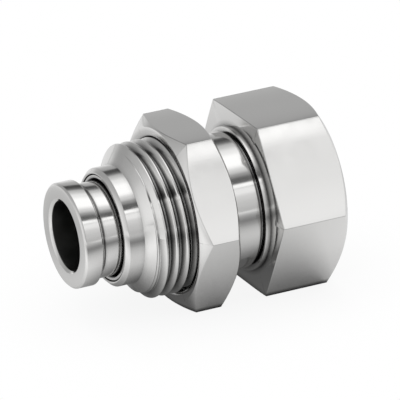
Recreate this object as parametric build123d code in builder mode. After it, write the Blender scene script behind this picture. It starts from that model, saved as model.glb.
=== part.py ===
from build123d import *
import math
import os

# A bulkhead push-in fitting for 6 mm tube, with a female port in its hexagon.
# Its axis is X. The origin is on the axis in the plane where a panel seats
# against the hexagon, +X points out of the female port and +Z up. Two flats of
# the hexagon and of the lock nut are level, and the fitting lies on them.

# Body, outside, from the hexagon towards the tube end
across_flats = 16.0
hex_length = 7.0
hex_rear_face_diameter = 15.2
hex_front_face_diameter = 18.2
chamfer_slope = math.radians(30)
collar_diameter = 13.1
collar_length = 0.5
groove_diameter = 11.8
groove_width = 0.35
relief_diameter = 12.4
relief_length = 3.15
thread_diameter = 14.0
thread_length = 6.5
nose_diameter = 10.7
nose_length = 1.75
nose_cone_angle = math.radians(55)
edge_break = 0.15

# Female port
port_drill_diameter = 8.6
port_depth = 6.4
port_countersink = 0.6
drill_point_angle = math.radians(59)
flow_diameter = 4.0

# Tube socket and the cavity that holds the gripping pieces
tube_diameter = 6.0
tube_clearance = 0.05
tube_seat_length = 2.5
cavity_diameter = 9.7
seat_clearance = 0.01

# Lock nut
nut_thickness = 4.0
nut_face_diameter = 15.8
nut_gap = 3.6
nut_clearance = 0.05
nut_countersink = 0.5

# Release button
flange_diameter = 9.5
flange_length = 1.8
flange_chamfer = 0.15
neck_diameter = 8.56
neck_exposed = 1.83
button_bore_diameter = 6.3
button_entry = 0.15
button_travel = 1.2
button_sleeve_wall = 0.79
ridge_height = 0.26
ridge_length = 0.4
nose_wall = 0.3
button_slits = 4
button_slit_width = 0.5
button_slit_root = 0.3

# Guide, pressed into the mouth of the body
guide_recess = 0.1
guide_front_length = 2.3
guide_lip_length = 0.6
guide_lip_clearance = 0.08
guide_skirt_length = 1.6
sliding_clearance = 0.08

# Chuck, a slit ring of spring sheet with claws that grip the tube
sheet = 0.3
chuck_play = 0.05
claw_angle = math.radians(45)
claw_bend_diameter = 8.5
claw_tip_diameter = 5.7
claws = 8
claw_slit_width = 0.6

# Collet, the ring behind the claws
claw_flex_gap = 0.25
collet_bore_diameter = 6.24
collet_land = 0.5

# Seal, a lip packing
seal_length = 2.4
seal_lip_diameter = 5.64
seal_lip_wall = 0.3
seal_groove_depth = 1.3
seal_heel_diameter = 6.7

# Stations of the body along X
hex_rear = hex_length
collar_front = -collar_length
groove_front = collar_front - groove_width
thread_end = groove_front - relief_length
thread_start = thread_end - thread_length
cone_length = (thread_diameter - nose_diameter) / 2 / math.tan(nose_cone_angle)
cone_start = thread_start - cone_length
mouth = cone_start - nose_length
port_bottom = hex_rear - port_depth

# Stations of the pieces in the cavity
guide_front = mouth + guide_recess
lip_front = guide_front + guide_front_length
lip_rear = lip_front + guide_lip_length
guide_rear = lip_rear + guide_skirt_length
chuck_front = guide_rear + chuck_play
collet_front = chuck_front + sheet + chuck_play
collet_cone_radius = claw_bend_diameter / 2 + sheet / 2
collet_cone_start = collet_front + claw_flex_gap
collet_cone_end = collet_cone_start + (collet_cone_radius - collet_bore_diameter / 2) / math.tan(claw_angle)
collet_rear = collet_cone_end + collet_land
seal_rear = collet_rear + seal_length
tube_stop = seal_rear + tube_seat_length

# Stations of the release button
flange_rear = mouth - neck_exposed
button_face = flange_rear - flange_length
neck_end = lip_front - button_travel - chuck_play
ridge_front = lip_rear + chuck_play
ridge_rear = ridge_front + ridge_length


def outline(points):
    """A flat profile with its corners at (x, radius), ready to be turned about the X axis."""
    with BuildSketch(Plane.XY) as profile:
        with BuildLine():
            Polyline(*points, close=True)
        make_face()
    return profile.sketch


def hexagon(x):
    """The section of the hexagon bar in the plane at x, with two flats level."""
    with BuildSketch(Plane.YZ.offset(x)) as section:
        RegularPolygon(radius=across_flats / 2, side_count=6, major_radius=False)
    return section.sketch


def turned_back(x0, x1, front_face_diameter, rear_face_diameter):
    """Two cones, base to base, that turn a hexagon's corners back at its faces at x0 and at x1."""
    slope = math.tan(chamfer_slope)
    bases = (x0 + x1) / 2 + slope * (rear_face_diameter - front_face_diameter) / 4
    base_radius = front_face_diameter / 2 + (bases - x0) / slope
    return outline([
        (x0, 0),
        (x0, front_face_diameter / 2),
        (bases, base_radius),
        (x1, rear_face_diameter / 2),
        (x1, 0),
    ])


# Body: turned from hexagon bar, with the socket in one end and the port in the other
with BuildPart() as body:
    extrude(hexagon(0), amount=hex_rear)
    corners = turned_back(0, hex_rear, hex_front_face_diameter, hex_rear_face_diameter)
    revolve(corners, axis=Axis.X, mode=Mode.INTERSECT)
    stem = outline([
        (hex_rear / 2, 0),
        (hex_rear / 2, groove_diameter / 2),
        (0, collar_diameter / 2),
        (collar_front, collar_diameter / 2),
        (collar_front, groove_diameter / 2),
        (groove_front, groove_diameter / 2),
        (groove_front, relief_diameter / 2),
        (thread_end, relief_diameter / 2),
        (thread_end, thread_diameter / 2),
        (thread_start, thread_diameter / 2),
        (cone_start, nose_diameter / 2),
        (mouth + edge_break, nose_diameter / 2),
        (mouth, nose_diameter / 2 - edge_break),
        (mouth, 0),
    ])
    revolve(stem, axis=Axis.X)
    drill_point = (port_drill_diameter - flow_diameter) / 2 / math.tan(drill_point_angle)
    passage = outline([
        (mouth, 0),
        (mouth, cavity_diameter / 2 + edge_break),
        (mouth + edge_break, cavity_diameter / 2),
        (seal_rear, cavity_diameter / 2),
        (seal_rear, tube_diameter / 2 + tube_clearance),
        (tube_stop, tube_diameter / 2 + tube_clearance),
        (tube_stop, flow_diameter / 2),
        (port_bottom - drill_point, flow_diameter / 2),
        (port_bottom, port_drill_diameter / 2),
        (hex_rear - port_countersink, port_drill_diameter / 2),
        (hex_rear, port_drill_diameter / 2 + port_countersink),
        (hex_rear, 0),
    ])
    revolve(passage, axis=Axis.X, mode=Mode.SUBTRACT)

# Lock nut: a thin hexagon nut, chamfered on both faces
with BuildPart() as lock_nut:
    nut_rear = -nut_gap
    nut_front = nut_rear - nut_thickness
    extrude(hexagon(nut_front), amount=nut_thickness)
    corners = turned_back(nut_front, nut_rear, nut_face_diameter, nut_face_diameter)
    revolve(corners, axis=Axis.X, mode=Mode.INTERSECT)
    nut_bore = thread_diameter / 2 + nut_clearance
    bore = outline([
        (nut_front, 0),
        (nut_front, nut_bore + nut_countersink / 2),
        (nut_front + nut_countersink / 2, nut_bore),
        (nut_rear - nut_countersink / 2, nut_bore),
        (nut_rear, nut_bore + nut_countersink / 2),
        (nut_rear, 0),
    ])
    revolve(bore, axis=Axis.X, mode=Mode.SUBTRACT)

# Release button: a flanged sleeve whose slit end snaps behind the lip of the guide
with BuildPart() as release_button:
    sleeve_radius = button_bore_diameter / 2 + button_sleeve_wall
    ridge_radius = sleeve_radius + ridge_height
    tip_radius = button_bore_diameter / 2 + nose_wall
    tip = ridge_rear + (ridge_radius - tip_radius) / math.tan(claw_angle)
    revolve(outline([
        (button_face, button_bore_diameter / 2 + button_entry),
        (button_face, flange_diameter / 2 - flange_chamfer),
        (button_face + flange_chamfer, flange_diameter / 2),
        (flange_rear, flange_diameter / 2),
        (flange_rear, neck_diameter / 2),
        (neck_end, neck_diameter / 2),
        (neck_end, sleeve_radius),
        (ridge_front, sleeve_radius),
        (ridge_front, ridge_radius),
        (ridge_rear, ridge_radius),
        (tip, tip_radius),
        (tip, button_bore_diameter / 2),
        (button_face + button_entry, button_bore_diameter / 2),
    ]), axis=Axis.X)
    flange_edge = (
        release_button.edges()
        .filter_by(GeomType.CIRCLE)
        .filter_by_position(Axis.X, flange_rear - edge_break / 2, flange_rear + edge_break / 2)
        .sort_by(SortBy.RADIUS)[-1]
    )
    chamfer(flange_edge, length=flange_chamfer)
    slit_length = tip - neck_end - button_slit_root
    with BuildSketch(Plane.YZ.offset(tip)):
        with PolarLocations(sleeve_radius, button_slits):
            Rectangle(sleeve_radius, button_slit_width)
    extrude(amount=-slit_length, mode=Mode.SUBTRACT)

# Guide: the ring that centres the release button and stops it from coming out
with BuildPart() as guide:
    guide_outer = cavity_diameter / 2 - seat_clearance
    guide_bore = neck_diameter / 2 + sliding_clearance
    lip_bore = sleeve_radius + guide_lip_clearance
    skirt_bore = ridge_radius + sliding_clearance
    revolve(outline([
        (guide_front, guide_bore + edge_break),
        (guide_front, guide_outer - edge_break),
        (guide_front + edge_break, guide_outer),
        (guide_rear, guide_outer),
        (guide_rear, skirt_bore),
        (lip_rear, skirt_bore),
        (lip_rear, lip_bore),
        (lip_front, lip_bore),
        (lip_front, guide_bore),
        (guide_front + edge_break, guide_bore),
    ]), axis=Axis.X)

# Chuck: a flat rim bent into claws that lean inwards, away from the mouth
with BuildPart() as chuck:
    rim_outer = cavity_diameter / 2 - chuck_play
    bend_radius = claw_bend_diameter / 2
    tip_edge = claw_tip_diameter / 2
    claw_reach = (bend_radius - tip_edge) / math.tan(claw_angle)
    back_bend = bend_radius + sheet * math.tan(claw_angle / 2)
    revolve(outline([
        (chuck_front, rim_outer),
        (chuck_front + sheet, rim_outer),
        (chuck_front + sheet, back_bend),
        (
            chuck_front + claw_reach + sheet * math.sin(claw_angle),
            tip_edge + sheet * math.cos(claw_angle),
        ),
        (chuck_front + claw_reach, tip_edge),
        (chuck_front, bend_radius),
    ]), axis=Axis.X)
    with BuildSketch(Plane.YZ.offset(chuck_front - chuck_play)):
        with PolarLocations(bend_radius / 2, claws):
            Rectangle(bend_radius, claw_slit_width)
        with PolarLocations(bend_radius, claws):
            Circle(claw_slit_width / 2)
    extrude(amount=claw_reach + 2 * sheet, mode=Mode.SUBTRACT)

# Collet: the ring that backs the claws and holds the seal in its seat
with BuildPart() as collet:
    collet_outer = cavity_diameter / 2 - seat_clearance
    revolve(outline([
        (collet_front, collet_outer),
        (collet_rear, collet_outer),
        (collet_rear, collet_bore_diameter / 2),
        (collet_cone_end, collet_bore_diameter / 2),
        (collet_cone_start, collet_cone_radius),
        (collet_front, collet_cone_radius),
    ]), axis=Axis.X)

# Seal: a lip packing, its groove open towards the pressure
with BuildPart() as seal:
    seal_outer = cavity_diameter / 2 - seat_clearance
    heel = seal_heel_diameter / 2
    lip = seal_lip_diameter / 2
    groove_bottom = seal_rear - seal_groove_depth
    lip_end = seal_rear - seat_clearance - edge_break
    revolve(outline([
        (collet_rear, heel),
        (collet_rear, seal_outer),
        (seal_rear, seal_outer),
        (seal_rear, seal_outer - seal_lip_wall),
        (groove_bottom, (seal_outer + heel) / 2),
        (lip_end, lip + seal_lip_wall),
        (lip_end, lip),
        (lip_end - seal_lip_wall, lip),
    ]), axis=Axis.X)

body.part.label = "body"
lock_nut.part.label = "lock_nut"
release_button.part.label = "release_button"
guide.part.label = "guide"
chuck.part.label = "chuck"
collet.part.label = "collet"
seal.part.label = "seal"

os.makedirs("parts", exist_ok=True)
export_step(body.part, "parts/body.step")
export_step(lock_nut.part, "parts/lock_nut.step")
export_step(release_button.part, "parts/release_button.step")
export_step(guide.part, "parts/guide.step")
export_step(chuck.part, "parts/chuck.step")
export_step(collet.part, "parts/collet.step")
export_step(seal.part, "parts/seal.step")
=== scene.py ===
# %% [markdown]
# This lesson dresses a bulkhead push-in fitting for air hose: nickel-plated brass, turned from hexagon
# bar. Its solids are already packed as a fixed frame of four bodies, three of which move. We could
# model it afresh and place it by eye, but then the pieces would neither fit nor move right. So the
# frame is loaded first, and every new piece takes its place from it.

import math

import bmesh
import bpy
from mathutils import Matrix, Vector


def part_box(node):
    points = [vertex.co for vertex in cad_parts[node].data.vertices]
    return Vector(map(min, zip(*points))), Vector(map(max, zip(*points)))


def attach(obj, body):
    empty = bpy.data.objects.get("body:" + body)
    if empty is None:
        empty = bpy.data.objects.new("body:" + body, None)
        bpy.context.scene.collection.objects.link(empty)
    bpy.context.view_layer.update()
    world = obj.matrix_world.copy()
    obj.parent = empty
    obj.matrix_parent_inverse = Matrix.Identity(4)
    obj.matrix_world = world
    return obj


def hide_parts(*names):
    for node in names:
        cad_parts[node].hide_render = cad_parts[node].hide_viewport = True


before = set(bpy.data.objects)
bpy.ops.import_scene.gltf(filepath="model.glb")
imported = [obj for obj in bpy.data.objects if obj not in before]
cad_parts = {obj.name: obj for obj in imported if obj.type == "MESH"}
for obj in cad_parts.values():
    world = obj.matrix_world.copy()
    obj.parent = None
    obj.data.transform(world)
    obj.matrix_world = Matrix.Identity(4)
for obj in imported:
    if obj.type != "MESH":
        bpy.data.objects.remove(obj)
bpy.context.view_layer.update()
print("nodes:", sorted(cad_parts))

# %% [markdown]
# The fitting is turned about the X axis, so most of its shape is a list of stations: a place along X
# and a radius. We work in millimetres, which are easy to read, and scale each finished mesh to metres
# once. The main stations could be typed in again, but reading them from the boxes of the solids keeps
# the two models in step.

# %% Read the main stations from the solids
MM = 0.001
X, Z = 0, 2


def span(node, axis):
    """The lowest and the highest coordinate of a solid along an axis, in millimetres."""
    low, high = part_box(node)
    return low[axis] / MM, high[axis] / MM


mouth, hex_rear = span("body", X)
nut_front, nut_rear = span("lock_nut", X)
button_face, button_tip = span("release_button", X)
guide_front, guide_rear = span("guide", X)
chuck_front = span("chuck", X)[0]
collet_front, collet_rear = span("collet", X)
seal_front, seal_rear = span("seal", X)
floor_height, hex_top = span("body", Z)
across_flats = hex_top - floor_height
flange_radius = span("release_button", Z)[1]
ring_radius = span("guide", Z)[1]
print("length", round(hex_rear - button_face, 2), "mm, across flats", round(across_flats, 2), "mm")

# %% [markdown]
# A real edge is never perfectly sharp, and the thin line of light on it is much of what makes metal
# look like metal. A bevel on the finished mesh would do it, but it is fragile next to a thread. So we
# round each corner of the flat profile before it is spun. An arc takes less than half of each side it
# touches, so two arcs never meet.

# %% Round the corners of a profile
LARGEST_SHARE = 0.45
NEARLY_STRAIGHT = math.radians(89)


def eased(points, radius=0.05, closed=True, steps=2):
    """The points of a profile with each corner turned into a small arc of steps + 1 points."""
    result = []
    last = len(points) - 1
    for i, point in enumerate(points):
        corner = Vector(point)
        if not closed and i in (0, last):
            result.append(corner)
            continue
        before = Vector(points[i - 1]) - corner
        after = Vector(points[(i + 1) % len(points)]) - corner
        room = LARGEST_SHARE * min(before.length, after.length)
        before.normalize()
        after.normalize()
        half = math.acos(max(-1.0, min(1.0, before.dot(after)))) / 2
        straight = half >= NEARLY_STRAIGHT
        reach = room if straight else min(radius / math.tan(half), room)
        start, end = corner + before * reach, corner + after * reach
        chord = [start.lerp(end, k / steps) for k in range(steps + 1)]
        if not straight:
            arc_radius = reach * math.tan(half)
            centre = corner + (before + after).normalized() * (arc_radius / math.sin(half))
            chord = [centre + (place - centre).normalized() * arc_radius for place in chord]
        result += chord
    return result


print("a square corner becomes", len(eased([(0, 0), (1, 0), (1, 1)], closed=False)) - 2, "points")

# %% [markdown]
# Everything turned is one profile spun about X. A screw modifier could spin it too, but the operator
# leaves a mesh that we can go on shaping at once. A spin of 144 steps keeps the outline round at any
# distance, and it divides by six, so the corners of a hexagon fall exactly on a step. Each vertex
# remembers its station, the number of its point in the profile.

# %% Spin a profile
TURN_STEPS = 144


def off_axis(point):
    """The distance of a point from the X axis."""
    return math.hypot(point.y, point.z)


def spun(bm, points, closed=True):
    """Adds a profile of (x, radius) points, spun once about the X axis, and returns its vertices."""
    station = bm.verts.layers.int.get("station") or bm.verts.layers.int.new("station")
    known = set(bm.verts)
    ring = [bm.verts.new((x, 0, r)) for x, r in points]
    for number, vertex in enumerate(ring):
        vertex[station] = number
    pairs = list(zip(ring, ring[1:]))
    if closed:
        pairs.append((ring[-1], ring[0]))
    edges = [bm.edges.new(pair) for pair in pairs]
    bmesh.ops.spin(
        bm, geom=ring + edges, cent=(0, 0, 0), axis=(1, 0, 0), dvec=(0, 0, 0),
        angle=math.tau, steps=TURN_STEPS, use_merge=True, use_duplicate=False,
    )
    return [v for v in bm.verts if v not in known]


trial = bmesh.new()
spun(trial, [(0, 1), (1, 1)], closed=False)
print("a spun line makes a tube of", len(trial.faces), "faces")
trial.free()

# %% [markdown]
# The stem and the port have 60 degree V threads, with small flats on crest and root. A bump map could
# fake them, but the stem's thread shows in the outline, so it has to be geometry. We draw one pitch of
# the form, from the middle of one root to the middle of the next, in the stem's own sizes first.

# %% Draw one pitch of a thread
FLANK = math.tan(math.radians(30))
stem_pitch = 1.0
stem_major = 7.0
stem_minor = 6.387
stem_root_flat = 0.167


def thread_form(pitch, minor, major, minor_flat):
    """The (place, radius) points of one pitch of a 60 degree thread, with a flat at the minor radius."""
    flank = (major - minor) * FLANK
    half = minor_flat / 2
    corners = [(0, minor), (half, minor), (half + flank, major)]
    corners += [(pitch - half - flank, major), (pitch - half, minor), (pitch, minor)]
    return eased(corners, closed=False)


stem_form = thread_form(stem_pitch, stem_minor, stem_major, stem_root_flat)
print("the stem's thread has", len(stem_form), "points in a pitch of", stem_pitch, "mm")

# %% [markdown]
# A screw thread is a spin with a small step along the axis: one pitch for each full turn. One turn is
# spun and copied along, and since the form is exactly one pitch long, the end of each turn meets the
# start of the next and the doubles merge. Two planes then cut the thread to length. A right-hand thread
# moves along +X as it turns anticlockwise seen from the +X end.

# %% Screw the form along the axis
SAME_POINT = 0.0005
CUT_TOLERANCE = 0.0001
SPARE_TURNS = 2


def cut_off(bm, x, side):
    """Removes what lies beyond a plane across the axis, on one side."""
    bmesh.ops.bisect_plane(
        bm, geom=bm.verts[:] + bm.edges[:] + bm.faces[:], dist=CUT_TOLERANCE,
        plane_co=(x, 0, 0), plane_no=(side, 0, 0), clear_outer=True, clear_inner=False,
    )


def screwed(bm, form, pitch, x_from, x_to, shape):
    """Adds a thread surface between two planes. shape(x, radius) gives the turned radius there."""
    thread = bmesh.new()
    first = math.floor((x_from - pitch * SPARE_TURNS) / pitch) * pitch
    ring = [thread.verts.new((first + place, 0, r)) for place, r in form]
    edges = [thread.edges.new(pair) for pair in zip(ring, ring[1:])]
    bmesh.ops.spin(
        thread, geom=ring + edges, cent=(0, 0, 0), axis=(1, 0, 0), dvec=(pitch / TURN_STEPS, 0, 0),
        angle=math.tau, steps=TURN_STEPS, use_merge=False, use_duplicate=False,
    )
    one_turn = thread.verts[:] + thread.edges[:] + thread.faces[:]
    for number in range(1, math.ceil((x_to - first) / pitch) + 1):
        copy = bmesh.ops.duplicate(thread, geom=one_turn)["geom"]
        copied = [item for item in copy if isinstance(item, bmesh.types.BMVert)]
        bmesh.ops.translate(thread, vec=(number * pitch, 0, 0), verts=copied)
    bmesh.ops.remove_doubles(thread, verts=thread.verts, dist=SAME_POINT)
    for vertex in thread.verts:
        radius = off_axis(vertex.co)
        wanted = shape(vertex.co.x, radius)
        vertex.co.y *= wanted / radius
        vertex.co.z *= wanted / radius
    cut_off(thread, x_from, -1)
    cut_off(thread, x_to, 1)
    carrier = bpy.data.meshes.new("thread")
    thread.to_mesh(carrier)
    thread.free()
    bm.from_mesh(carrier)
    bpy.data.meshes.remove(carrier)


trial = bmesh.new()
screwed(trial, stem_form, stem_pitch, 0, 3 * stem_pitch, lambda x, radius: radius)
print("three turns of the stem's thread have", len(trial.faces), "faces")
trial.free()

# %% [markdown]
# The thread and the turned surface beside it are two meshes with a hair's breadth between them. Merging
# them by distance would crush the thread's fine faces, so the two open ends are bridged with faces.

# %% Join a thread to a turned surface
SEAM = 0.02
PORT_SEAM = SEAM / 2
ON_PLANE = 0.002
NEAR_RADIUS = 0.3


def bridged(bm, x_screw, x_turned, radius):
    """Closes the gap between a thread's cut end and the open end of a turned surface near a radius."""
    loops = []
    for x in (x_screw, x_turned):
        loops += [
            e for e in bm.edges
            if e.is_boundary
            and all(abs(v.co.x - x) < ON_PLANE for v in e.verts)
            and abs(off_axis(e.verts[0].co) - radius) < NEAR_RADIUS
        ]
    bmesh.ops.bridge_loops(bm, edges=loops)


print("a thread's end is bridged over", SEAM, "mm")

# %% [markdown]
# The bar has six drawn flats that roll off a little towards slightly rounded corners. A cylinder with
# six sides would be sharp and dead flat, and would not share its vertices with the round parts. So the
# section is given for each step of the spin: the flat's points by their share of its width, and the
# corner's on a small arc.

# %% Draw the hexagon's section
SIDES = 6
SECTOR = TURN_STEPS // SIDES
CORNER_STEPS = 2
HALF_SIDE = math.radians(30)
corner_round = 0.12
flat_roll = 0.07


def hexagon_point(step):
    """The (angle, radius) of the hexagon's section at a step. Step 0 is the middle of the top flat."""
    place = (step + SECTOR // 2) % SECTOR
    half = across_flats / 2
    if CORNER_STEPS <= place <= SECTOR - CORNER_STEPS:
        share = 2 * (place - CORNER_STEPS) / (SECTOR - 2 * CORNER_STEPS) - 1
        along = (half - corner_round) * math.tan(HALF_SIDE) * share
        across = half - flat_roll * share ** 4
    else:
        past_corner = place if place < CORNER_STEPS else place - SECTOR
        corner = -HALF_SIDE if place < CORNER_STEPS else HALF_SIDE
        outward = corner + HALF_SIDE * past_corner / CORNER_STEPS
        centre = (half - corner_round) / math.cos(HALF_SIDE)
        along = centre * math.sin(corner) + corner_round * math.sin(outward)
        across = centre * math.cos(corner) + corner_round * math.cos(outward) - flat_roll
    flat = round((step - (place - SECTOR // 2)) / SECTOR)
    return math.atan2(along, across) + flat * math.tau / SIDES, math.hypot(along, across)


print("radius at mid flat", round(hexagon_point(0)[1], 3), "mm")
print("radius at a corner", round(hexagon_point(SECTOR // 2)[1], 3), "mm")

# %% [markdown]
# A turner cuts a 30 degree cone across the corners of a nut, and where it meets the flats it leaves the
# curved edges that every hexagon has. Intersecting a prism with a cone gives them, but a boolean leaves
# a ragged mesh. Here a round blank is spun, and each of its vertices slides to the profile that belongs
# to its place in the section: the larger the radius there, the longer the chamfer.

# %% Form a hexagon from a round blank
chamfer_slope = math.tan(math.radians(30))
edge_break = 0.15
bar_break = edge_break / 3
bar_round = 0.08


def hex_profile(radius, front, rear):
    """A hexagon's profile at a radius of its section. Each end is (x, turned radius, inner radius)."""
    front_x, front_turn, front_inner = front
    rear_x, rear_turn, rear_inner = rear
    front_cut = bar_break + max(0.0, (radius - front_turn) * chamfer_slope)
    rear_cut = bar_break + max(0.0, (radius - rear_turn) * chamfer_slope)
    return eased([
        (front_x, front_inner),
        (front_x, min(radius - bar_break, front_turn)),
        (front_x + front_cut, radius),
        (rear_x - rear_cut, radius),
        (rear_x, min(radius - bar_break, rear_turn)),
        (rear_x, rear_inner),
    ], radius=bar_round, closed=False)


def make_hexagonal(bm, vertices, first, profile_at):
    """Slides the vertices of a spun blank to a hexagon, from the station numbered first."""
    station = bm.verts.layers.int["station"]
    profiles = {}
    for vertex in vertices:
        turned = math.atan2(-vertex.co.y, vertex.co.z) / math.tau
        step = round(turned * TURN_STEPS) % TURN_STEPS
        if step not in profiles:
            angle, radius = hexagon_point(step)
            profiles[step] = angle, profile_at(radius)
        angle, profile = profiles[step]
        number = vertex[station] - first
        if 0 < number < len(profile) - 1:
            x, r = profile[number]
            vertex.co = (x, -r * math.sin(angle), r * math.cos(angle))


print("an unturned edge of the bar is broken by", round(bar_break, 3), "mm")

# %% [markdown]
# A finished mesh gets outward normals, smooth shading that breaks at sharp edges, and a weighted
# normal modifier, so that wide flats stay flat in the light while the small rounds stay soft. Plain
# smooth shading would smear the flats. The frame is told which node the piece replaces and which body
# it rides on.

# %% Finish a mesh and hand it to the frame
SHARP = math.radians(38)


def finish_piece(bm, name, node, body, materials, zone=None):
    """Turns a bmesh in millimetres into a piece in metres that replaces a node and rides on a body."""
    bmesh.ops.recalc_face_normals(bm, faces=bm.faces)
    for face in bm.faces:
        face.smooth = True
        if zone:
            face.material_index = zone(face)
    bmesh.ops.scale(bm, vec=(MM, MM, MM), verts=bm.verts)
    mesh = bpy.data.meshes.new(name)
    bm.to_mesh(mesh)
    open_edges = sum(e.is_boundary for e in bm.edges)
    odd_edges = sum(not e.is_manifold for e in bm.edges)
    bm.free()
    mesh.set_sharp_from_angle(angle=SHARP)
    piece = bpy.data.objects.new(name, mesh)
    bpy.context.scene.collection.objects.link(piece)
    for material in materials:
        mesh.materials.append(material)
    weighted = piece.modifiers.new("weighted normals", "WEIGHTED_NORMAL")
    weighted.keep_sharp = True
    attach(piece, body)
    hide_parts(node)
    print(name, "faces", len(mesh.polygons), "open edges", open_edges, "odd edges", odd_edges)


print("edges above", round(math.degrees(SHARP)), "degrees stay sharp")

# %% [markdown]
# Every finish is a small graph of nodes. Written out, each node takes four or five lines of Python, so
# a helper adds a node, sets it and wires its inputs in one call. An input given as a plain number or
# colour stays on the node's own socket.

# %% Add a node with one call


def wire(tree, node, inputs):
    """Gives inputs of a node, by name or number, a value or a link from another node's socket."""
    for name, value in inputs.items():
        if isinstance(value, bpy.types.NodeSocket):
            tree.links.new(value, node.inputs[name])
        else:
            node.inputs[name].default_value = value


def add_node(tree, kind, inputs=None, **settings):
    """Adds a shader node with its settings, then wires its inputs."""
    node = tree.nodes.new("ShaderNode" + kind)
    for name, value in settings.items():
        setattr(node, name, value)
    wire(tree, node, inputs or {})
    return node


trial = bpy.data.materials.new("trial")
trial.use_nodes = True
print("a trial node:", add_node(trial.node_tree, "Math", {0: 1.0}, operation="ABSOLUTE").name)
bpy.data.materials.remove(trial)

# %% [markdown]
# Four kinds of node do most of the work here: they calculate, take a value from one range to another,
# mix, and grade a value through a ramp of greys. Each gets a function that takes sockets or numbers and
# gives back the socket of its result, so that a graph reads like a line of arithmetic.

# %% Name the nodes used most


def calculated(tree, operation, first, second=0.0):
    """The output of a Math node."""
    return add_node(tree, "Math", {0: first, 1: second}, operation=operation).outputs[0]


def remapped(tree, value, source, target=(0.0, 1.0), interpolation="LINEAR"):
    """The output of a Map Range node that takes value from the source range to the target range."""
    inputs = {"Value": value, "From Min": source[0], "From Max": source[1]}
    inputs.update({"To Min": target[0], "To Max": target[1]})
    return add_node(tree, "MapRange", inputs, interpolation_type=interpolation).outputs["Result"]


def mixed(tree, factor, first, second, kind="RGBA"):
    """The output of a Mix node, of the first value where factor is 0 and the second where it is 1."""
    inputs = {"Factor": factor, "A": first, "B": second}
    return add_node(tree, "Mix", inputs, data_type=kind).outputs["Result"]


def graded(tree, value, levels, interpolation="LINEAR"):
    """The grey of a colour ramp at value. levels are (place from 0 to 1, level) pairs."""
    node = add_node(tree, "ValToRGB", {"Fac": value})
    node.color_ramp.interpolation = interpolation
    stops = node.color_ramp.elements
    while len(stops) < len(levels):
        stops.new(0.5)
    for stop, (place, level) in zip(stops, levels):
        stop.position = place
        stop.color = (level, level, level, 1)
    return node.outputs["Color"]


print("helpers:", ", ".join(helper.__name__ for helper in (calculated, remapped, mixed, graded)))

# %% [markdown]
# A lathe leaves rings round the axis, and a drawing die leaves lines along the bar. An image of
# scratches would need an unwrapped mesh. A noise with one dimension needs only one number for each
# point: for rings it is the place along the axis plus the radius, which is the same all the way round,
# and for the bar it is the distance in a direction across it.

# %% Run the tool lines round the axis or along the bar
ACROSS_BAR = (0.02, 0.83, 0.71)


def radius_at(tree, point):
    """A socket with the distance of a point from the X axis."""
    split = add_node(tree, "SeparateXYZ", {0: point})
    flat = add_node(tree, "CombineXYZ", {"Y": split.outputs["Y"], "Z": split.outputs["Z"]})
    return add_node(tree, "VectorMath", {0: flat.outputs[0]}, operation="LENGTH").outputs["Value"]


def lathe_rings(tree, point):
    """A number that changes along the axis and away from it, and not round it."""
    along = add_node(tree, "SeparateXYZ", {0: point}).outputs["X"]
    return calculated(tree, "ADD", along, radius_at(tree, point))


def bar_lines(tree, point):
    """A number that changes across the bar, and not along it."""
    inputs = {0: point, 1: ACROSS_BAR}
    return add_node(tree, "VectorMath", inputs, operation="DOT_PRODUCT").outputs["Value"]


print("lines are", lathe_rings.__name__, "or", bar_lines.__name__)

# %% [markdown]
# The finish is nickel plate on turned brass: a mirror with a memory of the tool. Its roughness and tone
# wander a little, as handling and plating leave them. Grooves get painted shade: the share of open sky
# at each point, within half a millimetre or so, tells how deep in a crevice it lies, and darkens its
# colour. In the thread the painted shade grows towards the root, which we read from the radius.

# %% Build the metals
CLOUDS = {"Scale": 420.0, "Detail": 4.0}
MIDDLE_CLOUDS = (0.35, 0.65)
DULLER = 0.95
CREVICE = 0.6
CREVICE_SAMPLES = 4
OPEN_SKY = (0.4, 0.92)
CREVICE_PAINTED_SHADE = (0.06, 1.0)
ROOT_PAINTED_SHADE = (0.55, 1.0)
LINE_DETAIL = 3.0
LINE_STRENGTH = 0.6


def new_material(name):
    """A material with its node tree, its shader and the socket of Object coordinates."""
    material = bpy.data.materials.new(name)
    material.use_nodes = True
    tree = material.node_tree
    return material, tree, tree.nodes["Principled BSDF"], add_node(tree, "TexCoord").outputs["Object"]


def metal(name, colour, roughness, lines, line_size, line_depth, root_shade_span=None):
    """A metal with fine tool lines and painted shade in crevices. root_shade_span is the (root, crest)
    between which a thread's colour is darkened towards the root as painted shade.
    """
    material, tree, shader, point = new_material(name)
    clouds = add_node(tree, "TexNoise", {"Vector": point, **CLOUDS}).outputs["Fac"]
    duller = (*(c * DULLER for c in colour), 1)
    tone = mixed(tree, clouds, duller, (*colour, 1))
    # Painted shade: ambient occlusion darkens the colour in crevices, and in a thread towards the root.
    sky = add_node(tree, "AmbientOcclusion", {"Distance": CREVICE * MM}, samples=CREVICE_SAMPLES)
    light = remapped(tree, sky.outputs["AO"], OPEN_SKY, CREVICE_PAINTED_SHADE)
    if root_shade_span:
        depths = [depth * MM for depth in root_shade_span]
        root_shade = remapped(tree, radius_at(tree, point), depths, ROOT_PAINTED_SHADE)
        light = calculated(tree, "MULTIPLY", light, root_shade)
    shaded_tone = add_node(tree, "VectorMath", {0: tone, "Scale": light}, operation="SCALE")
    line_noise = {"W": lines(tree, point), "Scale": 1 / (line_size * MM), "Detail": LINE_DETAIL}
    grooves = add_node(tree, "TexNoise", line_noise, noise_dimensions="1D").outputs["Fac"]
    relief = {"Strength": LINE_STRENGTH, "Distance": line_depth * MM, "Height": grooves}
    wire(tree, shader, {
        "Metallic": 1.0,
        "Roughness": remapped(tree, clouds, MIDDLE_CLOUDS, roughness),
        "Base Color": shaded_tone.outputs["Vector"],
        "Normal": add_node(tree, "Bump", relief).outputs["Normal"],
    })
    return material


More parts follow.
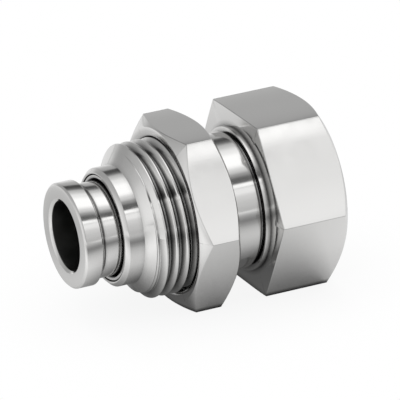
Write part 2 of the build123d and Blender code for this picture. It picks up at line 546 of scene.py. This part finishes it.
NICKEL = (0.83, 0.825, 0.815)
turned_nickel = metal("turned nickel", NICKEL, (0.08, 0.15), lathe_rings, 0.12, 0.0010)
# The thread's colour darkens towards its root as painted shade.
full_root_shade = stem_minor + 0.1
no_root_shade = stem_major - 0.05
root_shade_depths = (full_root_shade, no_root_shade)
thread_root_shaded = metal("thread with painted root shade", NICKEL, (0.08, 0.15), lathe_rings, 0.12, 0.0010, root_shade_depths)
drawn_nickel = metal("drawn nickel", NICKEL, (0.08, 0.14), bar_lines, 0.30, 0.0007)
# The bore's dark colour is painted shade; its higher roughness is the real unpolished finish.
bore_painted_dark = metal("rough bore painted dark", (0.16, 0.16, 0.155), (0.35, 0.5), lathe_rings, 0.12, 0.0015)
spring_steel = metal("spring sheet steel", (0.60, 0.59, 0.57), (0.22, 0.32), bar_lines, 0.15, 0.0015)
bare_brass = metal("turned brass", (0.80, 0.62, 0.32), (0.18, 0.28), lathe_rings, 0.12, 0.0015)
finishes = [turned_nickel, thread_root_shaded, drawn_nickel, bore_painted_dark, spring_steel, bare_brass]
print("metals:", ", ".join(finish.name for finish in finishes))

# %% [markdown]
# The seal is the one soft piece: black nitrile rubber, slightly dusty, with a fine grain. A flat black
# would look like a hole, so one fine noise moves its tone, its roughness and its surface together.

# %% Build the rubber
GRAIN_SCALE = 6000.0
GRAIN_RELIEF = {"Strength": 0.3, "Distance": 0.01 * MM}
BLACK = (0.012, 0.012, 0.013, 1)
DUSTY = (0.03, 0.03, 0.03, 1)
SOFT_GLOSS = 0.4
RUBBER_ROUGHNESS = (0.45, 0.7)

black_rubber, tree, shader, point = new_material("black rubber")
grain = add_node(tree, "TexNoise", {"Vector": point, "Scale": GRAIN_SCALE}).outputs["Fac"]
wire(tree, shader, {
    "Specular IOR Level": SOFT_GLOSS,
    "Base Color": mixed(tree, grain, BLACK, DUSTY),
    "Roughness": remapped(tree, grain, (0.0, 1.0), RUBBER_ROUGHNESS),
    "Normal": add_node(tree, "Bump", {**GRAIN_RELIEF, "Height": grain}).outputs["Normal"],
})
print(black_rubber.name, "has", len(tree.nodes), "nodes")

# %% [markdown]
# The body is one piece of bar: nose, stem, hexagon, socket and port. Its sizes are the ones a turner
# would read off the drawing. They are radii, because that is what a profile needs, and places along X
# follow from lengths, measured forwards from the hexagon's front face at 0.

# %% Name the body's turned sizes
collar_radius = 6.55
collar_length = 0.5
groove_radius = 5.9
groove_width = 0.35
relief_radius = 6.2
relief_length = 3.15
thread_length = 6.5
nose_radius = 5.35
nose_break = 0.35
cone_slope = math.tan(math.radians(55))
groove_front = -collar_length - groove_width
thread_end = groove_front - relief_length
thread_start = thread_end - thread_length
cone_start = thread_start - (stem_major - nose_radius) / cone_slope

hex_front_turn = 9.1
hex_rear_turn = 7.6
cavity_radius = 4.85
tube_seat_radius = 3.05
tube_seat_length = 2.5
tube_stop = seal_rear + tube_seat_length
flow_radius = 2.0
print("thread from", round(thread_start, 2), "to", round(thread_end, 2), "mm")

# %% [markdown]
# The port is tapped for a pipe thread that the camera can't see, but a turned view can. Its drill leaves
# a cone at the bottom, and the tap's lead stops short of it.

# %% Name the port's sizes
port_depth = 6.4
port_drill = 4.3
port_bottom = hex_rear - port_depth
drill_slope = math.tan(math.radians(59))
port_pitch = 0.907
port_major = 4.864
port_crest_flat = 0.18
port_countersink = 0.6
port_rim = port_drill + port_countersink
tap_lead = 0.8
faded_turns = 0.8
fade_length = faded_turns * port_pitch
print("port from", round(port_bottom, 2), "to", round(hex_rear, 2), "mm")

# %% [markdown]
# A real thread is cut into a blank that is already turned, so its crests follow the cone at one end and
# a chamfer at the other. We do the same: a function takes the thread's own radius at a place and gives
# back what the blank leaves of it. The port's thread fades out where the tap's lead ends.

# %% Turn the threads down
AXIS_CLEARANCE = 0.1


def stem_radius(x, radius):
    """The thread, turned down by the cone in front and by the chamfer at the relief."""
    on_cone = stem_major + (x - thread_start) * cone_slope
    on_chamfer = relief_radius + (thread_end - x)
    return max(AXIS_CLEARANCE, min(radius, on_cone, on_chamfer))


def port_radius(x, radius):
    """The port's thread: opened by the countersink, and fading out where the tap's lead ends."""
    fade = max(0.0, min(1.0, (x - port_thread_front) / fade_length))
    countersunk = port_rim - (hex_rear - x)
    return max(port_drill + (radius - port_drill) * fade, countersunk)


stem_front = thread_start - (stem_major - stem_minor) / cone_slope - SEAM
stem_rear = thread_end - (stem_minor - relief_radius) + SEAM
port_thread_front = port_bottom + tap_lead
port_thread_rear = hex_rear - (port_rim - port_major) + PORT_SEAM
print("stem thread cut from", round(stem_front, 3), "to", round(stem_rear, 3), "mm")

# %% [markdown]
# Two turned surfaces make the body's skin, apart from the threads. The front one runs over the cone and
# the nose, in at the mouth, through the cavity and the tube's seat to the bottom of the port. It could
# be several cylinders joined by booleans, but one open profile has no seams to hide.

# %% Turn the nose, the socket and the bore
body = bmesh.new()
spun(body, eased([
    (stem_front - SEAM, stem_radius(stem_front - SEAM, stem_major)),
    (cone_start, nose_radius),
    (mouth + nose_break, nose_radius),
    (mouth, nose_radius - nose_break),
    (mouth, cavity_radius + edge_break / 2),
    (mouth + edge_break / 2, cavity_radius),
    (seal_rear, cavity_radius),
    (seal_rear, tube_seat_radius),
    (tube_stop, tube_seat_radius),
    (tube_stop, flow_radius),
    (port_bottom - (port_drill - flow_radius) / drill_slope, flow_radius),
    (port_bottom, port_drill),
    (port_thread_front - SEAM, port_drill),
], closed=False), closed=False)
print("front skin:", len(body.faces), "faces")

# %% [markdown]
# The rear surface runs along the relief, the narrow groove and the collar, then over the hexagon to the
# port's rim. It is spun as one round blank, and only the hexagon's stations slide to its section.

# %% Turn the relief and form the hexagon
relief_skin = eased([
    (stem_rear + SEAM, stem_radius(stem_rear + SEAM, stem_major)),
    (thread_end, relief_radius),
    (groove_front, relief_radius),
    (groove_front, groove_radius),
    (-collar_length, groove_radius),
    (-collar_length, collar_radius),
    (0, collar_radius),
], closed=False)


def body_hex(radius):
    """The hexagon's profile, from the collar's foot to the port's rim."""
    return hex_profile(radius, (0, hex_front_turn, collar_radius), (hex_rear, hex_rear_turn, port_rim))


rim_end = port_thread_rear + PORT_SEAM
rim = Vector((rim_end, port_rim - (hex_rear - rim_end)))
rear_skin = relief_skin + body_hex(across_flats / 2)[1:] + [rim]
blank = spun(body, rear_skin, closed=False)
make_hexagonal(body, blank, len(relief_skin) - 1, body_hex)
print("with the hexagon:", len(body.faces), "faces")

# %% [markdown]
# Now the two threads are screwed into the gaps that the turned skins left for them, and each end is
# joined to its neighbour. After that the body is one closed surface.

# %% Thread the body
port_form = thread_form(port_pitch, port_drill, port_major, port_crest_flat)
screwed(body, stem_form, stem_pitch, stem_front, stem_rear, stem_radius)
screwed(body, port_form, port_pitch, port_thread_front, port_thread_rear, port_radius)
bridged(body, stem_front, stem_front - SEAM, stem_minor)
bridged(body, stem_rear, stem_rear + SEAM, stem_minor)
bridged(body, port_thread_front, port_thread_front - SEAM, port_drill)
bridged(body, port_thread_rear, rim_end, port_major)
print("open edges left:", sum(e.is_boundary for e in body.edges))

# %% [markdown]
# The flats of the hexagon are drawn and not turned, so they get the finish with long lines, and the
# stem's thread gets the one with painted shade in its roots. They could be three objects, but then seams
# would show. One mesh holds three materials instead, and a function sorts its faces by where they lie.

# %% Sort the body's faces by finish
LEVEL = 0.2
flat_depth = 0.2
root_margin = 0.05


def on_flat(face):
    """Material 1 on the hexagon's flats, 0 elsewhere."""
    outside = off_axis(face.calc_center_median()) > across_flats / 2 - flat_depth
    return int(outside and abs(face.normal.x) < LEVEL)


def on_body(face):
    """Material 2 on the stem's thread, 1 on the hexagon's flats, 0 elsewhere."""
    centre = face.calc_center_median()
    if thread_start < centre.x < thread_end and off_axis(centre) > stem_minor - root_margin:
        return 2
    return on_flat(face)


body_finishes = [turned_nickel, drawn_nickel, thread_root_shaded]
finish_piece(body, "fitting_body", "body", "housing", body_finishes, on_body)

# %% [markdown]
# The lock nut is a slice of the same bar, chamfered on both faces and threaded through. Its thread is
# in step with the stem's, because both forms start from the same origin, so the crests of one lie in
# the roots of the other.

# %% Make the lock nut
nut_face_turn = 7.9
nut_bore = 7.05
nut_minor = 6.459
nut_crest_flat = 0.21
nut_countersink = 7.3
rim_depth = (nut_countersink - nut_bore) * FLANK - SEAM


def nut_radius(x, radius):
    """The nut's thread, opened by a countersink at both faces."""
    depth = min(x - nut_front, nut_rear - x)
    return max(radius, nut_countersink - depth / FLANK)


def nut_hex(radius):
    """The nut's profile, from the front countersink's rim to the rear one's."""
    ends = [(x, nut_face_turn, nut_countersink) for x in (nut_front, nut_rear)]
    return hex_profile(radius, *ends)


nut = bmesh.new()
front_cut, rear_cut = nut_front + rim_depth, nut_rear - rim_depth
front_rim = Vector((front_cut - SEAM, nut_radius(front_cut - SEAM, 0)))
rear_rim = Vector((rear_cut + SEAM, nut_radius(rear_cut + SEAM, 0)))
blank = spun(nut, [front_rim] + nut_hex(across_flats / 2) + [rear_rim], closed=False)
make_hexagonal(nut, blank, 1, nut_hex)
nut_form = thread_form(stem_pitch, nut_minor, nut_bore, nut_crest_flat)
screwed(nut, nut_form, stem_pitch, front_cut, rear_cut, nut_radius)
bridged(nut, front_cut, front_rim.x, nut_bore)
bridged(nut, rear_cut, rear_rim.x, nut_bore)
finish_piece(nut, "hexagon_nut", "lock_nut", "nut", [turned_nickel, drawn_nickel], on_flat)

# %% [markdown]
# The release button and the chuck are slit so that they can spring. A boolean could cut the slits, but
# it often fails on thin walls. We saw instead: two planes for the slit's sides and one for its root
# bisect the wall, what lies between them is taken out, and the three new walls are closed with faces.
# The mesh is rolled so that each slit in its turn points up.

# %% Saw a slit
NEAR = 1e-4
SIDEWAYS = (0, 1, 0)


def rolled(bm, angle):
    """Rolls a whole mesh about the X axis."""
    bmesh.ops.rotate(bm, cent=(0, 0, 0), matrix=Matrix.Rotation(angle, 3, "X"), verts=bm.verts)


def slit(bm, angle, width, root, inward):
    """Cuts a slit at an angle about X. It lies beyond the plane through root, on the side of inward."""
    root, inward = Vector(root), Vector(inward)
    half = width / 2
    rolled(bm, angle)

    def depth(point):
        """How far a point lies past the slit's root."""
        return (point - root).dot(inward)

    def faces_within(reach, past_root=True):
        """The faces above the axis, no further to the side than reach."""
        centres = {f: f.calc_center_median() for f in bm.faces}
        return [
            f for f, centre in centres.items()
            if centre.z > 0 and abs(centre.y) < reach and (depth(centre) > 0 or not past_root)
        ]

    sides = [(Vector((0, y, 0)), SIDEWAYS) for y in (half, -half)]
    for plane, normal in [(root, inward)] + sides:
        chosen = faces_within(width, past_root=normal is not inward)
        edges = {e for f in chosen for e in f.edges}
        vertices = {v for f in chosen for v in f.verts}
        bmesh.ops.bisect_plane(
            bm, geom=list(vertices) + list(edges) + chosen, dist=NEAR / 10, plane_co=plane,
            plane_no=normal, clear_outer=False, clear_inner=False,
        )
    bmesh.ops.delete(bm, geom=faces_within(half), context="FACES")
    rim = [e for e in bm.edges if e.is_boundary and all(v.co.z > 0 for v in e.verts)]
    root_wall = [e for e in rim if all(abs(depth(v.co)) < NEAR for v in e.verts)]
    for side in (half, -half):
        wall = [e for e in rim if all(abs(v.co.y - side) < NEAR for v in e.verts)]
        ends = {v for e in wall for v in e.verts if abs(depth(v.co)) < NEAR}
        wall.append(bm.edges.new(list(ends)))
        root_wall.append(wall[-1])
        bmesh.ops.contextual_create(bm, geom=wall)
    bmesh.ops.contextual_create(bm, geom=root_wall)
    rolled(bm, -angle)


print("a slit's walls meet within", NEAR, "mm")

# %% [markdown]
# The release button is the flanged sleeve at the tube end. Its flange is rounded for the thumb, and
# the turner leaves a fine undercut behind it. The sleeve ends in springy segments with a ridge that
# snaps behind the guide's lip. It is one closed profile, spun and then slit.

# %% Make the release button
button_bore = 3.15
neck_radius = 4.28
sleeve_radius = 3.94
flange_gap = 1.83
flange_rear = mouth - flange_gap
undercut = 0.14
undercut_width = 0.22
entry = 0.25
thumb_round = 0.18
tip_wall = 0.3

lip_depth = 2.3
lip_length = 0.6
lip_front = guide_front + lip_depth
lip_rear = lip_front + lip_length
press_room = 1.25
neck_end = lip_front - press_room
ridge_gap = 0.05
ridge_length = 0.4
ridge_height = 0.26
ridge_front = lip_rear + ridge_gap
ridge_rear = ridge_front + ridge_length
ridge_radius = sleeve_radius + ridge_height

button = bmesh.new()
spun(button, eased([
    (button_face, button_bore + entry),
    (button_face, flange_radius - thumb_round),
    (button_face + thumb_round, flange_radius),
    (flange_rear - thumb_round, flange_radius),
    (flange_rear, flange_radius - thumb_round),
    (flange_rear, neck_radius - undercut),
    (flange_rear + undercut_width, neck_radius - undercut),
    (flange_rear + undercut_width + undercut, neck_radius),
    (neck_end, neck_radius),
    (neck_end, sleeve_radius),
    (ridge_front, sleeve_radius),
    (ridge_front, ridge_radius),
    (ridge_rear, ridge_radius),
    (button_tip, button_bore + tip_wall),
    (button_tip, button_bore),
    (button_face + entry, button_bore),
], radius=0.1))
print("button:", len(button.faces), "faces before it is slit")

# %% [markdown]
# Four slits part the sleeve into segments. The bore is never polished, so it and the hidden sleeve get
# a rough finish; its dark colour is painted shade, which makes the bore look as black as in any such
# fitting.

# %% Slit and finish the release button
segments = 4
sleeve_slit = 0.5
unslit_length = 0.3
slit_start = neck_end + unslit_length
bore_margin = 0.02
for segment in range(segments):
    slit(button, math.tau * segment / segments, sleeve_slit, (slit_start, 0, 0), (1, 0, 0))


def in_bore(face):
    """Material 1 inside the button and on its sleeve, 0 elsewhere."""
    centre = face.calc_center_median()
    return int(off_axis(centre) < button_bore + bore_margin or centre.x > neck_end)


button_finishes = [turned_nickel, bore_painted_dark]
finish_piece(
    button, "release_sleeve", "release_button", "button", button_finishes, in_bore,
)

# %% [markdown]
# The guide is a turned ring pressed into the mouth. Only its front shows, as the thin ring round the
# button's neck. Inside it has a lip, and room behind that for the button's ridge.

# %% Make the guide
guide_bore = 4.36
guide_lip = 4.02
guide_entry = 0.15
guide_chamfer = 0.12
ridge_room = 0.08
ring = bmesh.new()
spun(ring, eased([
    (guide_front, guide_bore + guide_entry),
    (guide_front, ring_radius - guide_chamfer),
    (guide_front + guide_chamfer, ring_radius),
    (guide_rear, ring_radius),
    (guide_rear, ridge_radius + ridge_room),
    (lip_rear, ridge_radius + ridge_room),
    (lip_rear, guide_lip),
    (lip_front, guide_lip),
    (lip_front, guide_bore),
    (guide_front + guide_entry, guide_bore),
]))
finish_piece(ring, "guide_ring", "guide", "housing", [turned_nickel])

# %% [markdown]
# The collet is a brass ring behind the chuck, left unplated. Its cone stands close behind the claws and
# backs them up when a tube spreads them. It never shows, so a plain profile with broken edges is enough.

# %% Make the collet
collet_land = 0.25
collet_cone = collet_front + collet_land
collet_bore = 3.12
collet_mouth = 4.4
ring = bmesh.new()
spun(ring, eased([
    (collet_front, ring_radius),
    (collet_rear, ring_radius),
    (collet_rear, collet_bore),
    (collet_cone + collet_mouth - collet_bore, collet_bore),
    (collet_cone, collet_mouth),
    (collet_front, collet_mouth),
]))
finish_piece(ring, "claw_collet", "collet", "housing", [bare_brass])

# %% [markdown]
# The seal is moulded rubber at the bottom of the cavity. Its heel fills the cavity, and a thin lip leans
# in, so that the air itself presses it on the tube. It too is a profile and a spin, with softer edges.

# %% Make the seal
seal_heel = 3.35
seal_lip = 2.82
lip_wall = 0.3
lip_groove = 1.3
lip_set_back = 0.16
lip_end = seal_rear - lip_set_back
ring = bmesh.new()
spun(ring, eased([
    (seal_front, seal_heel),
    (seal_front, ring_radius),
    (seal_rear, ring_radius),
    (seal_rear, ring_radius - lip_wall),
    (seal_rear - lip_groove, (ring_radius + seal_heel) / 2),
    (lip_end, seal_lip + lip_wall),
    (lip_end, seal_lip),
    (lip_end - lip_wall, seal_lip),
], radius=0.08))
finish_piece(ring, "lip_seal", "seal", "housing", [black_rubber])

# %% [markdown]
# The chuck is punched from spring sheet: a flat rim bent into eight claws that lean away from the
# mouth, so a tube slides in but can't slide out. A flat star could be bent claw by claw, but one bent
# profile, spun and then slit between the claws, gives every claw the same bend.

# %% Make the chuck
sheet_metal = 0.3
claw_bend = 4.25
claw_tip = 2.85
claw_count = 8
claw_gap = 0.6
claw_reach = claw_bend - claw_tip
rim_width = 0.55
rim_radius = claw_bend + rim_width
lean = math.radians(45)
chuck = bmesh.new()
spun(chuck, eased([
    (chuck_front, rim_radius),
    (chuck_front + sheet_metal, rim_radius),
    (chuck_front + sheet_metal, claw_bend + sheet_metal * math.tan(lean / 2)),
    (chuck_front + claw_reach + sheet_metal * math.sin(lean), claw_tip + sheet_metal * math.cos(lean)),
    (chuck_front + claw_reach, claw_tip),
    (chuck_front, claw_bend),
], radius=0.04))
for claw in range(claw_count):
    slit(chuck, math.tau * claw / claw_count, claw_gap, (0, 0, claw_bend + sheet_metal), (0, 0, -1))
finish_piece(chuck, "claw_chuck", "chuck", "grip", [spring_steel])

# %% [markdown]
# The camera stands where the photographer's did: a long lens, a little above the fitting and to the
# side of the release button, with a slight lean. A track constraint could aim it, but the lean is
# easier to add to a rotation that we work out ourselves.

# %% Place the camera
camera_azimuth = math.radians(-23.9)
camera_elevation = math.radians(21.54)
camera_roll = math.radians(-3.24)
camera_distance = 443.9 * MM
camera_lens = 451.0
nearest_seen = 0.01
aim = Vector((-5.883, 0, 0)) * MM
aim_right = -1.844 * MM
aim_down = 0.958 * MM

back = Vector((
    math.sin(camera_azimuth) * math.cos(camera_elevation),
    -math.cos(camera_azimuth) * math.cos(camera_elevation),
    math.sin(camera_elevation),
))
turn = back.to_track_quat("Z", "Y").to_matrix() @ Matrix.Rotation(camera_roll, 3, "Z")
camera = bpy.data.objects.new("camera", bpy.data.cameras.new("camera"))
camera.data.lens = camera_lens
camera.data.clip_start = nearest_seen
camera.rotation_mode = "QUATERNION"
camera.rotation_quaternion = turn.to_quaternion()
camera.location = aim - turn @ Vector((aim_right, -aim_down, -camera_distance))
bpy.context.scene.collection.objects.link(camera)
bpy.context.scene.camera = camera
print("camera at", [round(place, 4) for place in camera.location], "m")

# %% [markdown]
# Polished metal shows its surroundings, so the studio matters as much as the finish. A few area lamps
# would leave small hard glints. Instead the world is painted in soft bands round the fitting's axis: a
# wide light overhead, a bright card in front, a little above the camera, and dark gaps between them.
# The angle runs from 0 in front, over 90 overhead, to 180 behind.

# %% Paint the studio in bands
HALF_TURN = 180
bands = [
    (0, 0.55), (12, 0.64), (23, 0.74), (31, 1.00), (36, 0.98), (38.5, 0.74), (40, 1.20), (43.5, 1.30),
    (47, 0.13), (54, 0.13), (60, 0.35), (68, 0.75), (80, 1.25), (95, 1.25), (108, 1.00), (122, 0.62),
    (134, 0.14), (140, 0.07), (146, 0.09), (153, 0.42), (165, 0.50), (180, 0.75),
]
world = bpy.data.worlds.new("studio")
bpy.context.scene.world = world
world.use_nodes = True
tree = world.node_tree
direction = add_node(tree, "TexCoord").outputs["Generated"]
split = add_node(tree, "SeparateXYZ", {0: direction})
sideways = split.outputs["X"]
forward = calculated(tree, "MULTIPLY", split.outputs["Y"], -1.0)
angle = calculated(tree, "ARCTAN2", split.outputs["Z"], forward)
overhead = remapped(tree, angle, (0.0, math.pi))
band_levels = [(degrees / HALF_TURN, level) for degrees, level in bands]
band_light = graded(tree, overhead, band_levels, "EASE")
print(len(bands), "band edges, brightest", max(level for degrees, level in bands))

# %% [markdown]
# All bands would meet in a point at the two ends of the axis, and the cone looks right at one end. So
# towards the ends they fade into an even light that only grows with the share of X in the direction.
# The camera itself sees plain white.

# %% Fade the bands towards the ends of the axis
WHITE = (1, 1, 1, 1)
end_levels = [(0.475, 0.38), (0.754, 0.50), (0.843, 0.63), (0.95, 0.82), (1.0, 0.95)]
tube_fade = (-0.1, -0.4)
port_fade = (0.82, 0.97)
fades = [
    remapped(tree, sideways, limits, interpolation="SMOOTHSTEP") for limits in (tube_fade, port_fade)
]
near_end = calculated(tree, "MAXIMUM", *fades)
end_light = graded(tree, calculated(tree, "ABSOLUTE", sideways), end_levels)
studio_light = mixed(tree, near_end, band_light, end_light)
rays = add_node(tree, "LightPath").outputs
seen = mixed(tree, rays["Is Camera Ray"], studio_light, WHITE)
wire(tree, tree.nodes["Background"], {"Color": seen})
print("the studio has", len(tree.nodes), "nodes")

# %% [markdown]
# The floor is a pale sheet that the fitting lies on. Lit paper is never quite white, so the camera and
# the metal both see it as white by itself, and only darker where the fitting keeps the light off it.
# Ambient occlusion tells how much of the sky is open at each point of the floor.

# %% Lay the floor
floor_size = 0.5
floor_mesh = bpy.data.meshes.new("floor")
paper = bmesh.new()
bmesh.ops.create_grid(paper, x_segments=1, y_segments=1, size=floor_size)
bmesh.ops.translate(paper, vec=(0, 0, floor_height * MM), verts=paper.verts)
paper.to_mesh(floor_mesh)
paper.free()
floor = bpy.data.objects.new("floor", floor_mesh)
bpy.context.scene.collection.objects.link(floor)

PALE = (0.8, 0.8, 0.8, 1)
PAPER_ROUGHNESS = 0.9
SHADOW_REACH = 0.02
floor_finish, tree, shader, point = new_material("pale floor")
wire(tree, shader, {"Base Color": PALE, "Roughness": PAPER_ROUGHNESS})
open_sky = add_node(tree, "AmbientOcclusion", {"Distance": SHADOW_REACH}).outputs["AO"]
print("floor at", round(floor_height, 2), "mm")

# %% [markdown]
# In front of the fitting the metal also sees a darker strip of the floor. Photographers lay a black flag
# there, which gives round metal its grey line below the middle. We paint it as grey levels across the
# floor, in millimetres from the axis, and let it end beyond the fitting.

# %% Paint the flag that the metal sees
flag_reach = 100
flag = [
    (-100, 0.55), (-60, 0.40), (-33, 0.24), (-24, 0.38), (-15, 0.72), (-8, 1.05), (4, 0.78), (20, 0.54),
    (32, 0.60), (45, 0.80),
]
flag_ends = (0.03, 0.08)
beyond_flag = 0.86
deep_shadow = 0.12
split = add_node(tree, "SeparateXYZ", {0: point})
across = remapped(tree, split.outputs["Y"], (-flag_reach * MM, flag_reach * MM))
flag_levels = [((place + flag_reach) / (2 * flag_reach), level) for place, level in flag]
flag_light = graded(tree, across, flag_levels)
past_end = remapped(tree, calculated(tree, "ABSOLUTE", split.outputs["X"]), flag_ends)
metal_paper = mixed(tree, past_end, flag_light, beyond_flag, "FLOAT")
metal_shadow = remapped(tree, open_sky, (0.25, 0.95), (deep_shadow, 1.0))
metal_sees = calculated(tree, "MULTIPLY", metal_paper, metal_shadow)
print("darkest part of the flag", min(level for place, level in flag))

# %% [markdown]
# Last the floor is told whose eye it meets. Camera and reflections see the painted paper as light, with
# only a faint shadow for the camera. All other rays see an ordinary pale sheet, which throws its soft
# light back up at the fitting.

# %% Finish the floor
faint_shadow = 0.91
rays = add_node(tree, "LightPath").outputs
camera_paper = remapped(tree, open_sky, (0.2, 0.9), (faint_shadow, 1.0))
painted = mixed(tree, rays["Is Camera Ray"], metal_sees, camera_paper, "FLOAT")
glow = add_node(tree, "Emission", {"Color": painted}).outputs[0]
seen_direct = calculated(tree, "MAXIMUM", rays["Is Camera Ray"], rays["Is Glossy Ray"])
sheet = add_node(tree, "MixShader", {"Fac": seen_direct, 1: shader.outputs[0], 2: glow})
wire(tree, tree.nodes["Material Output"], {"Surface": sheet.outputs[0]})
floor_mesh.materials.append(floor_finish)

bpy.context.scene.view_settings.view_transform = "Standard"
print("the floor's finish has", len(tree.nodes), "nodes")
